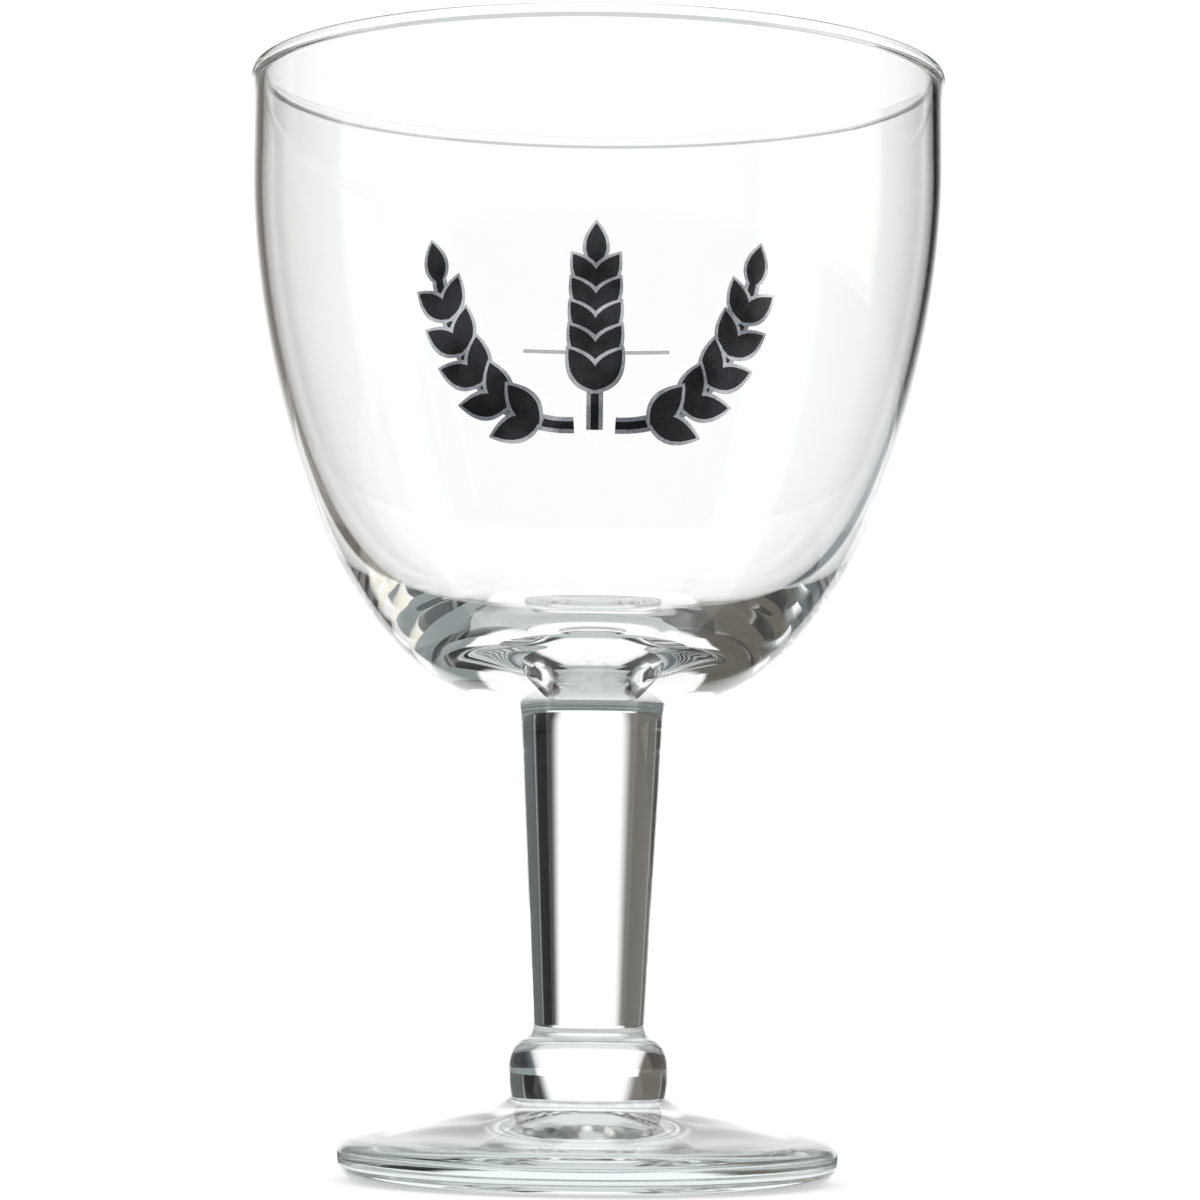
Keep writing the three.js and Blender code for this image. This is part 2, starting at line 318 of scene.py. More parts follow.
CEILING_CARDS = {
    "ceiling_card_back": {"angles": (-38, 75), "shade": PEARL},
    "ceiling_card_left": {"angles": (-110, -38), "shade": UMBER},
    "ceiling_card_front": {"angles": (75, 250), "shade": ASH},
}

stand = bpy.data.objects.new("card_stand", None)
scene.collection.objects.link(stand)
facing = stand.constraints.new("LOCKED_TRACK")
facing.target = camera
facing.track_axis = "TRACK_NEGATIVE_Y"
facing.lock_axis = "LOCK_Z"


def fading(name, shade, soft):
    """A glow in one shade that turns clear at both ends of a card, over a share of its width."""
    paint = new_material(name)
    tree = paint.node_tree
    share = Wire.made(tree, "ShaderNodeAttribute", {"attribute_name": "share"}, None, "Fac")
    mask = eased(tree, share, 0.0, soft) * eased(tree, share, 1.0, 1.0 - soft)
    clear = Wire.made(tree, "ShaderNodeBsdfTransparent")
    light = Wire.made(tree, "ShaderNodeEmission", None, {"Color": (*shade, 1.0)})
    faded = Wire.made(tree, "ShaderNodeMixShader", None, {0: mask, 1: clear, 2: light})
    Wire.made(tree, "ShaderNodeOutputMaterial", None, {"Surface": faded})
    return paint


def card(name, low_edge, high_edge, shade, soft=NO_FADE):
    """A sheet between two edges round the glass. An edge is its distance, its height, and the
    angles where it starts and ends, in degrees to the right of straight behind."""
    points = []
    shares = []
    for i in range(CARD_STEPS + 1):
        share = i / CARD_STEPS
        for distance, height, start, end in (low_edge, high_edge):
            angle = math.radians(start + (end - start) * share)
            points.append(on_circle(distance, angle, height))
            shares.append(share)
    faces = [[2 * i, 2 * i + 1, 2 * i + 3, 2 * i + 2] for i in range(CARD_STEPS)]
    sheet = new_object(name, points, faces, fading(name, shade, soft))
    sheet.data.attributes.new("share", "FLOAT", "POINT").data.foreach_set("value", shares)
    sheet.parent = stand
    sheet.visible_camera = False
    sheet.visible_diffuse = False
    sheet.visible_shadow = False


def table_card(name, angles, shade, soft, end, lift):
    card(name, (TABLE_CARD_START, lift, *angles), (end, lift, *angles), shade, soft)


for name, look in UPRIGHT_CARDS.items():
    low_edge = (CARD_DISTANCE, CARD_FOOT, *look["low"])
    card(name, low_edge, (CARD_DISTANCE, CARD_TOP, *look["high"]), look["shade"], look["soft"])
for name, look in TABLE_CARDS.items():
    table_card(name, **look, end=CARD_DISTANCE, lift=TABLE_CARD_LIFT)
for name, look in NEAR_TABLE_CARDS.items():
    table_card(name, **look, end=NEAR_CARD_END, lift=NEAR_CARD_LIFT)
for name, look in CEILING_CARDS.items():
    low_edge = (CARD_DISTANCE, CARD_TOP, *look["angles"])
    card(name, low_edge, (CEILING_EDGE, CEILING, *look["angles"]), look["shade"])
card("ceiling_card_top", (CEILING_EDGE, CEILING, *ALL_ROUND), (0.0, CEILING, *ALL_ROUND), TEAL)
print("cards:", len(stand.children))

# %% [markdown]
# ## Outlines
# Every glass piece is round, so its whole shape is one outline of radius and height. A glassmaker thinks of
# it the same way, as a template held against the turning piece. An outline here is a chain of Bezier bends
# that starts on the axis underneath, runs out and up, and comes back to the axis on top. Two control points
# give a straight line, three or four give a bend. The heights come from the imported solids.

# %% Outline helpers
SAME_POINT = 1e-7


def bend(steps, *controls):
    points = []
    for i in range(steps + 1):
        left = [Vector(c) for c in controls]
        while len(left) > 1:
            left = [a.lerp(b, i / steps) for a, b in zip(left, left[1:])]
        points.append(left[0])
    return points


def chain(*bends):
    points = [bends[0][0]]
    for point in (p for b in bends for p in b):
        if (point - points[-1]).length > SAME_POINT:
            points.append(point)
    return points


_, foot_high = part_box("foot")
_, knop_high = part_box("knop")
_, stem_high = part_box("stem")
_, bowl_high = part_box("bowl")
knop_seat = foot_high.z
stem_seat = knop_high.z
weld = stem_high.z
print("joints at", [round(z / MM, 1) for z in (knop_seat, stem_seat, weld)], "mm")

# %% [markdown]
# ## Foot, knop and stem
# The foot is a pressed disc: a shallow cone on top, a round heel, and a hollow underneath, so that it stands
# on a ring and doesn't rock. The knop is the rounded collar that the gaffer squeezes between foot and stem,
# and the stem widens upwards to a small shoulder under the bowl. Bevelled cylinders would get near these
# shapes, but the bands that show in the glass follow every change of the outline, so each is drawn.

# %% Outlines of the foot, the knop and the stem
FOOT_RADIUS = foot_high.x
HOLLOW_DEPTH = 2.2 * MM
RING_WIDTH = 3.4 * MM
HEEL_ROUND = 3.4 * MM
EDGE_MIDDLE = 3.3 * MM
EDGE_TOP = 5.5 * MM
EDGE_ROUND = 2.4 * MM
CREASE_WIDTH = 3.6 * MM
CREASE_DROP = 1.5 * MM
KNOP_RADIUS = knop_high.x
KNOP_SEAT_RADIUS = 10.35 * MM
KNOP_WIDEST = knop_seat + 3.4 * MM
KNOP_CROWN = knop_seat + 7.9 * MM
KNOP_CROWN_RADIUS = 8.4 * MM
KNOP_SHOULDER_DROP = 1.0 * MM
KNOP_COVE_LIFT = 0.4 * MM
STEM_BASE_RADIUS = 7.45 * MM
WELD_RADIUS = stem_high.x
SHOULDER_HEIGHT = 1.6 * MM
SHOULDER_PROUD = 0.25 * MM
SHOULDER_PULL_UP = 0.6
SHOULDER_PULL_OUT = 0.4
CREASE_SHARE = 1 / 3
HOLLOW_STEPS = 28
RING_STEPS = 4
HEEL_STEPS = 12
EDGE_STEPS = 14
CONE_STEPS = 16
CREASE_STEPS = 14
SEAT_STEPS = 8
KNOP_LOWER_STEPS = 12
KNOP_UPPER_STEPS = 16
KNOP_COVE_STEPS = 12
STEM_SEAT_STEPS = 6
TAPER_STEPS = 24
SHOULDER_STEPS = 8

ring_outer = FOOT_RADIUS - HEEL_ROUND
ring_inner = ring_outer - RING_WIDTH
edge_radius = FOOT_RADIUS - EDGE_ROUND
crease_radius = KNOP_SEAT_RADIUS + CREASE_WIDTH
crease_height = knop_seat - CREASE_DROP
slope = (crease_height - EDGE_TOP) / (edge_radius - crease_radius)
crease_pull = (
    KNOP_SEAT_RADIUS + CREASE_WIDTH * CREASE_SHARE,
    crease_height + slope * CREASE_WIDTH * (1 - CREASE_SHARE),
)
heel_top = (FOOT_RADIUS, EDGE_MIDDLE)
edge_pull = (FOOT_RADIUS, EDGE_TOP - slope * EDGE_ROUND)
edge_top = (edge_radius, EDGE_TOP)
crease = (crease_radius, crease_height)
knop_base = (KNOP_SEAT_RADIUS, knop_seat)
foot_outline = chain(
    bend(HOLLOW_STEPS, (0, HOLLOW_DEPTH), (ring_inner / 2, HOLLOW_DEPTH), (ring_inner, 0)),
    bend(RING_STEPS, (ring_inner, 0), (ring_outer, 0)),
    bend(HEEL_STEPS, (ring_outer, 0), (FOOT_RADIUS, 0), heel_top),
    bend(EDGE_STEPS, heel_top, edge_pull, edge_top),
    bend(CONE_STEPS, edge_top, crease),
    bend(CREASE_STEPS, crease, crease_pull, knop_base),
    bend(SEAT_STEPS, knop_base, (0, knop_seat)),
)
knop_side = (KNOP_RADIUS, KNOP_WIDEST)
knop_swell = (KNOP_RADIUS, (knop_seat + KNOP_WIDEST) / 2)
crown = (KNOP_CROWN_RADIUS, KNOP_CROWN)
stem_base = (STEM_BASE_RADIUS, stem_seat)
knop_outline = chain(
    bend(SEAT_STEPS, (0, knop_seat), knop_base),
    bend(KNOP_LOWER_STEPS, knop_base, knop_swell, knop_side),
    bend(KNOP_UPPER_STEPS, knop_side, (KNOP_RADIUS, KNOP_CROWN - KNOP_SHOULDER_DROP), crown),
    bend(KNOP_COVE_STEPS, crown, (STEM_BASE_RADIUS, KNOP_CROWN + KNOP_COVE_LIFT), stem_base),
    bend(STEM_SEAT_STEPS, stem_base, (0, stem_seat)),
)
taper_end = (WELD_RADIUS - SHOULDER_PROUD, weld - SHOULDER_HEIGHT)
shoulder_pull = (
    WELD_RADIUS - SHOULDER_PROUD * (1 - SHOULDER_PULL_OUT),
    weld - SHOULDER_HEIGHT * (1 - SHOULDER_PULL_UP),
)
stem_outline = chain(
    bend(STEM_SEAT_STEPS, (0, stem_seat), stem_base),
    bend(TAPER_STEPS, stem_base, taper_end),
    bend(SHOULDER_STEPS, taper_end, shoulder_pull, (WELD_RADIUS, weld)),
    bend(SEAT_STEPS, (WELD_RADIUS, weld), (0, weld)),
)
print("outline points:", len(foot_outline), len(knop_outline), len(stem_outline))

# %% [markdown]
# ## Bowl
# The bowl is blown: a deep cup with a thin wall and a thick solid base, and a lip that a flame has melted
# into a small bead. Its inside has an outline of its own, because the solid base bends light by the shape
# between the two. A Solidify modifier would give one thickness all over, so both sides are drawn here, and
# the bead flows into the wall with a cove, because melted glass leaves no crease.

# %% Outline of the bowl
BOWL_RADIUS = 46.9 * MM
WIDEST = weld + 72.6 * MM
BELLY_REACH = 24.0 * MM
SIDE_REACH = 29.9 * MM
RIM_TUCK = 0.1 * MM
WALL = 1.35 * MM
LIP_PROUD_OUTSIDE = 0.35 * MM
LIP_PROUD_INSIDE = 0.2 * MM
FLOOR_EDGE = weld + 9.75 * MM
FLOOR_RADIUS = 16.0 * MM
FLOOR_DISH = 1.2 * MM
FLOOR_CORNER_REACH = 18.9 * MM
INNER_SIDE_REACH = 25.2 * MM
LIP_COVE = 1.2 * MM
LIP_COVE_TURN = 0.45
LIP_STEPS = 20
WALL_TOP_STEPS = 8
LIP_COVE_STEPS = 10
BELLY_STEPS = 80
CORNER_STEPS = 120
DISH_STEPS = 24

lip_radius = (WALL + LIP_PROUD_OUTSIDE + LIP_PROUD_INSIDE) / 2
lip_centre = Vector((BOWL_RADIUS - RIM_TUCK + LIP_PROUD_OUTSIDE - lip_radius, bowl_high.z - lip_radius))
lip_start = -math.acos(1 - LIP_PROUD_OUTSIDE / lip_radius)
lip_end = math.pi + math.acos(1 - LIP_PROUD_INSIDE / lip_radius)


def on_lip(angle):
    return lip_centre + lip_radius * Vector((math.cos(angle), math.sin(angle)))


def cove(wall_point, crease, lip_point):
    """The wall's top, which flows into the lip where the flame has melted the crease away."""
    start = crease + (Vector(wall_point) - crease).normalized() * LIP_COVE
    rise = bend(WALL_TOP_STEPS, wall_point, start)
    return chain(rise, bend(LIP_COVE_STEPS, start, crease, lip_point))


bead_start = lip_start + LIP_COVE_TURN
bead_turn = lip_end - LIP_COVE_TURN - bead_start
lip = [on_lip(bead_start + bead_turn * i / LIP_STEPS) for i in range(LIP_STEPS + 1)]
inner_radius = BOWL_RADIUS - WALL
belly = ((WELD_RADIUS + BELLY_REACH, weld), (BOWL_RADIUS, WIDEST - SIDE_REACH))
outer_wall = chain(
    bend(BELLY_STEPS, (WELD_RADIUS, weld), *belly, (BOWL_RADIUS, WIDEST)),
    cove((BOWL_RADIUS, WIDEST), on_lip(lip_start), lip[0]),
)
corner = ((inner_radius, WIDEST - INNER_SIDE_REACH), (FLOOR_RADIUS + FLOOR_CORNER_REACH, FLOOR_EDGE))
dish = ((FLOOR_RADIUS / 2, FLOOR_EDGE), (FLOOR_RADIUS / 2, FLOOR_EDGE - FLOOR_DISH))
inner_wall = chain(
    cove((inner_radius, WIDEST), on_lip(lip_end), lip[-1])[::-1],
    bend(CORNER_STEPS, (inner_radius, WIDEST), *corner, (FLOOR_RADIUS, FLOOR_EDGE)),
    bend(DISH_STEPS, (FLOOR_RADIUS, FLOOR_EDGE), *dish, (0, FLOOR_EDGE - FLOOR_DISH)),
)
bowl_outline = chain(bend(SEAT_STEPS, (0, weld), (WELD_RADIUS, weld)), outer_wall, lip, inner_wall)
print("bowl outline points:", len(bowl_outline))

# %% [markdown]
# ## Turning an outline
# The Screw modifier could turn an outline, but a Geometry Nodes tree can do more: it rolls a grid into the
# turned shape, and then lets the surface wander by a few hundredths of a millimetre where the hot glass was
# left to find its own level. That slight unevenness in the solid base breaks up what shows through it. Each
# outline point carries how far the surface may wander there. The flat faces where two pieces are fused get
# a material that shows nothing, because inside one body of glass there is no surface to see.

# %% A tree that turns glass
TURN_STEPS = 192
RIPPLE_SEED = 7.0
RIPPLE_DETAIL = 1.0
NOISE_MIDDLE = 0.5
GRID_HALF = 0.5
MERGE_DISTANCE = 1e-6
SHARP_ANGLE = math.radians(30)


def new_tree(name, *inputs):
    tree = bpy.data.node_groups.new(name, "GeometryNodeTree")
    tree.interface.new_socket("Geometry", in_out="OUTPUT", socket_type="NodeSocketGeometry")
    for title, kind in inputs:
        tree.interface.new_socket(title, in_out="INPUT", socket_type="NodeSocket" + kind)
    return tree, Wire.made(tree, "NodeGroupInput")


def end_tree(tree, shape, material):
    whole = Wire.made(tree, "GeometryNodeRealizeInstances", None, {"Geometry": shape})
    smooth = Wire.made(tree, "GeometryNodeSetShadeSmooth", None, {"Geometry": whole})
    painted = Wire.made(tree, "GeometryNodeSetMaterial", None, {"Geometry": smooth, "Material": material})
    Wire.made(tree, "NodeGroupOutput", None, {"Geometry": painted})


turned_glass, given = new_tree(
    "Turned glass",
    ("Outline", "Geometry"),
    ("Turn Steps", "Int"),
    ("Ripple Length", "Float"),
    ("Seed", "Float"),
    ("Glass", "Material"),
)
outline = given.beside("Outline")
steps = given.beside("Turn Steps")
rows = Wire.made(
    turned_glass, "GeometryNodeAttributeDomainSize", None, {"Geometry": outline}, "Point Count"
)
grid_sockets = {"Size X": 1.0, "Size Y": 1.0, "Vertices X": steps + 1, "Vertices Y": rows}
grid = Wire.made(turned_glass, "GeometryNodeMeshGrid", None, grid_sockets)
place = Wire.made(turned_glass, "GeometryNodeInputPosition")
across, along, _ = split(turned_glass, place)
share_up = (along + GRID_HALF) * (rows - 1)
row = share_up.math("ROUND", share_up)
angle = (across + GRID_HALF) * math.tau
on_outline = Wire.made(
    turned_glass,
    "GeometryNodeSampleIndex",
    {"data_type": "FLOAT_VECTOR"},
    {"Geometry": outline, "Value": place, "Index": row},
)
radius, _, height = split(turned_glass, on_outline)
round_x = radius * angle.math("COSINE", angle)
round_y = radius * angle.math("SINE", angle)
rolled = joined(turned_glass, round_x, round_y, height)
wander = Wire.made(
    turned_glass, "GeometryNodeInputNamedAttribute", None, {"Name": "wander"}, "Attribute"
)
wander_here = Wire.made(
    turned_glass,
    "GeometryNodeSampleIndex",
    {"data_type": "FLOAT"},
    {"Geometry": outline, "Value": wander, "Index": row},
)
kept = Wire.made(
    turned_glass,
    "GeometryNodeStoreNamedAttribute",
    {"data_type": "FLOAT", "domain": "POINT"},
    {"Geometry": grid, "Name": "wander", "Value": wander_here},
)
body = Wire.made(turned_glass, "GeometryNodeSetPosition", None, {"Geometry": kept, "Position": rolled})
closed = Wire.made(
    turned_glass, "GeometryNodeMergeByDistance", None, {"Geometry": body, "Distance": MERGE_DISTANCE}
)
noise = Wire.made(
    turned_glass,
    "ShaderNodeTexNoise",
    {"noise_dimensions": "4D"},
    {
        "Vector": place,
        "W": given.beside("Seed"),
        "Scale": 1 / given.beside("Ripple Length"),
        "Detail": RIPPLE_DETAIL,
    },
)
outward = Wire.made(turned_glass, "GeometryNodeInputNormal")
ripple = Wire.made(
    turned_glass,
    "ShaderNodeVectorMath",
    {"operation": "SCALE"},
    {"Vector": outward, "Scale": (noise - NOISE_MIDDLE) * wander},
)
uneven = Wire.made(turned_glass, "GeometryNodeSetPosition", None, {"Geometry": closed, "Offset": ripple})
clean = Wire.made(turned_glass, "GeometryNodeRemoveAttribute", None, {"Geometry": uneven, "Name": "wander"})
end_tree(turned_glass, clean, given.beside("Glass"))
print("tree:", turned_glass.name, len(turned_glass.nodes), "nodes")

# %% [markdown]
# ## From a tree to a piece
# A glass that has cooled no longer changes, and neither does a finished piece: the tree's result is taken as
# a plain mesh and the modifier goes. Applying the modifier by hand would do the same, but would leave an
# empty material slot behind. Then the faces are turned outwards, and the sharp corners are marked.

# %% Growing a piece from a tree
def grown(name, tree, base, sizes):
    """The plain mesh that a tree makes from a base mesh, as a piece at the origin."""
    piece = bpy.data.objects.new(name, base)
    scene.collection.objects.link(piece)
    modifier = piece.modifiers.new("shape", "NODES")
    modifier.node_group = tree
    for socket in tree.interface.items_tree:
        if socket.in_out == "INPUT" and socket.name in sizes:
            modifier[socket.identifier] = sizes[socket.name]
    evaluated = piece.evaluated_get(bpy.context.evaluated_depsgraph_get())
    mesh = bpy.data.meshes.new_from_object(evaluated)
    piece.modifiers.remove(modifier)
    piece.data = mesh
    mesh.name = name
    finish = next(material for material in mesh.materials if material)
    mesh.materials.clear()
    mesh.materials.append(finish)
    for face in mesh.polygons:
        face.material_index = 0
    return piece


def closed_up(piece):
    """Faces outwards and sharp corners, with a count of what was made."""
    shape = bmesh.new()
    shape.from_mesh(piece.data)
    bmesh.ops.recalc_face_normals(shape, faces=shape.faces)
    open_edges = sum(1 for edge in shape.edges if len(edge.link_faces) != 2)
    triangles = sum(len(face.verts) - 2 for face in shape.faces)
    shape.to_mesh(piece.data)
    shape.free()
    piece.data.set_sharp_from_angle(angle=SHARP_ANGLE)
    print(piece.name, "has", triangles, "triangles and", open_edges, "open edges")


def polyline(name, points):
    """Points of radius and height as a bare line, joined in order."""
    mesh = bpy.data.meshes.new(name)
    edges = [(i, i + 1) for i in range(len(points) - 1)]
    mesh.from_pydata([(p.x, 0.0, p.y) for p in points], edges, [])
    return mesh


print("corners sharper than", round(math.degrees(SHARP_ANGLE)), "degrees stay sharp")

# %% [markdown]
# ## Clear glass
# Soda-lime glass bends light by 1.52 and is almost colourless. Deep glass is faintly green-blue, so the tint
# grows where the body is solid, and most at the edge of the foot, where light has run the long way through
# the disc. A fire-polished surface is perfectly smooth, but the flame doesn't reach the underside of the
# foot, which keeps a trace of the mould, and tables have scuffed the ring. A volume could give the tint, but
# a surface colour is steadier in pieces that touch. A weld has no surface at all, so its material is
# see-through but for a few faint seeds, the tiny bubbles that are caught between two gathers.

# %% Glass materials
GLASS_IOR = 1.52
THIN_TINT = (0.985, 0.99, 0.988, 1.0)
DEEP_TINT = (0.945, 0.968, 0.962, 1.0)
EDGE_TINT = (0.83, 0.89, 0.895, 1.0)
EDGE_TINT_START = 24.0 * MM
SCUFF_HEIGHT = 0.5 * MM
SCUFF_ROUGHNESS = 0.3
SCUFF_SCALE = 900.0
SCUFF_DETAIL = 4.0
SCUFF_EDGE = 0.45
SCUFF_HEART = 0.7
MOULD_ROUGHNESS = 0.08
MOULD_FADE = 0.2 * MM
WAVE_SCALE = 45.0
WAVE_DETAIL = 1.0
WAVE_HEIGHT = 0.01 * MM
SEED_SCALE = 700.0
SEED_DETAIL = 0.0
SEED_EDGE = 0.72
SEED_HEART = 0.8
SEED_HAZE = 0.08
ROOT = 0.5


def object_place(tree):
    return Wire.made(tree, "ShaderNodeTexCoord", None, None, "Object")


def speckle(tree, place, scale, detail):
    sockets = {"Vector": place, "Scale": scale, "Detail": detail}
    return Wire.made(tree, "ShaderNodeTexNoise", None, sockets, "Fac")


def bumped(tree, height, distance):
    sockets = {"Height": height, "Distance": distance, "Strength": 1.0}
    return Wire.made(tree, "ShaderNodeBump", None, sockets)


clear_glass = new_material("fire_polished_glass")
tree = clear_glass.node_tree
spot = object_place(tree)
across, away, rise = split(tree, spot)
from_axis = (across * across + away * away) ** ROOT
depth = eased(tree, rise, FLOOR_EDGE + FLOOR_DISH, weld)
outer_part = eased(tree, from_axis, EDGE_TINT_START, FOOT_RADIUS)
rim_of_foot = outer_part * eased(tree, rise, crease_height, EDGE_TOP)
tint = mixed(tree, rim_of_foot, mixed(tree, depth, THIN_TINT, DEEP_TINT), EDGE_TINT)
inside_heel = eased(tree, from_axis, ring_outer + MOULD_FADE, ring_outer)
underside = inside_heel * eased(tree, rise, HOLLOW_DEPTH + MOULD_FADE, HOLLOW_DEPTH)
scratches = eased(tree, speckle(tree, spot, SCUFF_SCALE, SCUFF_DETAIL), SCUFF_EDGE, SCUFF_HEART)
scuff = scratches * eased(tree, rise, SCUFF_HEIGHT, 0.0)
surfaced(
    clear_glass,
    Base_Color=tint,
    Roughness=scuff * SCUFF_ROUGHNESS + underside * MOULD_ROUGHNESS,
    Normal=bumped(tree, speckle(tree, spot, WAVE_SCALE, WAVE_DETAIL), WAVE_HEIGHT),
    IOR=GLASS_IOR,
    Transmission_Weight=1.0,
)
fused = new_material("fused_inside")
tree = fused.node_tree
bubbles = speckle(tree, object_place(tree), SEED_SCALE, SEED_DETAIL)
seeds = eased(tree, bubbles, SEED_EDGE, SEED_HEART)
surfaced(fused, Alpha=seeds * SEED_HAZE)
print("glass and weld materials made")

# %% [markdown]
# ## The four glass pieces
# The foot, the knop, the stem and the bowl are turned from their outlines. They could be one mesh, since on
# the table they are one body, but separate pieces can be used again one by one. Only the thick base of the
# bowl is allowed to wander, most of all round the corner where the floor turns up into the wall.

# %% Foot, knop, stem and bowl
RIPPLE_LENGTH = 8.0 * MM
BASE_WANDER = 0.06 * MM
CORNER_TOP = weld + 15 * MM
WELD_TOLERANCE = 1e-6
LEVEL = 0.999


def turned(node, outline, wander, welds):
    name = node + "_glass"
    base = polyline(name, outline)
    amounts = base.attributes.new("wander", "FLOAT", "POINT")
    for i, point in enumerate(outline):
        amounts.data[i].value = wander(point)
    sizes = {"Turn Steps": TURN_STEPS, "Ripple Length": RIPPLE_LENGTH, "Seed": RIPPLE_SEED}
    sizes["Glass"] = clear_glass
    piece = grown(name, turned_glass, base, sizes)
    piece.data.materials.append(fused)
    for face in piece.data.polygons:
        at_weld = any(abs(face.center.z - z) < WELD_TOLERANCE for z in welds)
        if at_weld and abs(face.normal.z) > LEVEL:
            face.material_index = 1
    closed_up(piece)
    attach(piece, "root")
    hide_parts(node)


def still(point):
    return 0.0


def base_wander(point):
    """Most at the edge of the floor, and none from the top of the corner up."""
    if point.x < FLOOR_RADIUS or point.y < FLOOR_EDGE:
        return 0.0
    return BASE_WANDER * max(0.0, 1 - (point.y - FLOOR_EDGE) / (CORNER_TOP - FLOOR_EDGE))


turned("foot", foot_outline, still, [knop_seat])
turned("knop", knop_outline, still, [knop_seat, stem_seat])
turned("stem", stem_outline, still, [stem_seat, weld])
turned("bowl", bowl_outline, base_wander, [weld])

# %% [markdown]
# ## Enamel
# The print is glass paint, pushed through a fine screen and fired until it melts onto the bowl. It has a
# soft gloss, a faint dapple from the screen, and a thickness that one can just feel. Silver enamel holds
# metal flakes, black enamel is dense and dark, and the pale enamel of the fill line is thin and a little
# chalky. Each enamel's colour also changes in large patches at random. On the silver the light patches are
# painted highlights and the dark ones are painted shade, and on the black the greyer patches are painted
# sheen.
# An image could hold the dapple, but noise stays sharp from near by and needs no file.

# %% Enamel materials
DAPPLE_SCALE = 1500.0
DAPPLE_DETAIL = 2.0
CLOUD_SCALE = 160.0
CLOUD_DETAIL = 3.0
CLOUD_SHARE = 0.8
FLAKE_SCALE = 5200.0
FLAKE_DETAIL = 0.0
FLAKE_SHARE = 0.2
NOISE_LOW = 0.3
NOISE_HIGH = 0.7
# On the silver the light end is a painted highlight and the dark end is painted shade, laid in random
# patches.
SILVER_PAINTED_HIGHLIGHTS_LOOK = {
    "dark": (0.2, 0.22, 0.25),
    "light": (0.82, 0.85, 0.88),
    "smoothest": 0.22,
    "roughest": 0.42,
    "relief": 0.004 * MM,
    "Metallic": 0.45,
}
# On the black ink the lighter end is painted sheen, laid in random patches.
BLACK_PAINTED_SHEEN_LOOK = {
    "dark": (0.006, 0.006, 0.008),
    "light": (0.036, 0.036, 0.042),
    "smoothest": 0.16,
    "roughest": 0.3,
    "relief": 0.003 * MM,
}
PALE_LOOK = {
    "dark": (0.66, 0.68, 0.7),
    "light": (0.82, 0.84, 0.85),
    "smoothest": 0.35,
    "roughest": 0.55,
    "relief": 0.004 * MM,
    "Alpha": 0.4,
}


def enamel(name, dark, light, smoothest, roughest, relief, **constants):
    material = new_material(name)
    tree = material.node_tree
    spot = object_place(tree)
    dapple = speckle(tree, spot, DAPPLE_SCALE, DAPPLE_DETAIL)
    cloud = speckle(tree, spot, CLOUD_SCALE, CLOUD_DETAIL)
    flake = speckle(tree, spot, FLAKE_SCALE, FLAKE_DETAIL)
    # Random patches between the dark and light ends. On the silver and the black these patches are painted
    # highlights, shade and sheen.
    shade = eased(tree, cloud * CLOUD_SHARE + flake * FLAKE_SHARE, NOISE_LOW, NOISE_HIGH)
    gloss = eased(tree, dapple, NOISE_LOW, NOISE_HIGH)
    return surfaced(
        material,
        Base_Color=mixed(tree, shade, (*dark, 1.0), (*light, 1.0)),
        Roughness=smoothest + gloss * (roughest - smoothest),
        Normal=bumped(tree, dapple + cloud, relief),
        **constants,
    )


silver_enamel = enamel("fired_silver", **SILVER_PAINTED_HIGHLIGHTS_LOOK)
black_enamel = enamel("fired_black", **BLACK_PAINTED_SHEEN_LOOK)
pale_enamel = enamel("fired_pale", **PALE_LOOK)
print("enamels: silver, black, pale")

# %% [markdown]
# ## Laying a print on the bowl
# A screen print is flat artwork that is rolled onto a curved wall, so it is drawn flat here and laid on the
# bowl by a small tree of its own: across the print becomes a turn round the glass, up the print becomes a
# way along the wall's outline, and the film's thickness stands off the wall. A Shrinkwrap modifier would
# also bring the film to the wall, but it would press its thickness flat.

# %% A tree that lays a flat film on the wall
lay_on_wall, given = new_tree(
    "Lay on wall", ("Film", "Geometry"), ("Wall", "Geometry"), ("Along Wall", "Float"), ("Facing", "Float")
)
flat_x, flat_y, flat_z = split(lay_on_wall, Wire.made(lay_on_wall, "GeometryNodeInputPosition"))
wall_line = Wire.made(lay_on_wall, "GeometryNodeMeshToCurve", None, {"Mesh": given.beside("Wall")})
wall_point = Wire.made(
    lay_on_wall,
    "GeometryNodeSampleCurve",
    {"mode": "LENGTH"},
    {"Curves": wall_line, "Length": given.beside("Along Wall") + flat_y},
    "Position",
)
wall_radius, _, wall_height = split(lay_on_wall, wall_point)
lean, _, climb = split(lay_on_wall, wall_point.beside("Tangent"))
film_radius = wall_radius + climb * flat_z
turn = given.beside("Facing") + flat_x / wall_radius
laid_place = joined(
    lay_on_wall,
    film_radius * turn.math("SINE", turn),
    0 - film_radius * turn.math("COSINE", turn),
    wall_height - lean * flat_z,
)
laid_sockets = {"Geometry": given.beside("Film"), "Position": laid_place}
laid = Wire.made(lay_on_wall, "GeometryNodeSetPosition", None, laid_sockets)
Wire.made(lay_on_wall, "NodeGroupOutput", None, {"Geometry": laid})
print("tree:", lay_on_wall.name, len(lay_on_wall.nodes), "nodes")

# %% [markdown]
# ## Barley ears
# The motif is three ears of barley: a stalk with pairs of pointed grains that overlap like tiles, and one
# grain at the tip. A grain is a pillow, two leaf-shaped grids joined at their edges. The tree strews grains
# along the stalk, lifts each pair a hair above the next so that they overlap, and lays the ear on the bowl.
# The same tree makes the silver ground, where every grain is larger by a margin, and the black print on it,
# so silver shows all round each black grain.

# %% A tree that makes a barley ear
GRAIN_ACROSS = 8
GRAIN_ALONG = 14
STALK_STEPS = 40
STALK_SIDES = 12
CROWN_SQUARENESS = 4

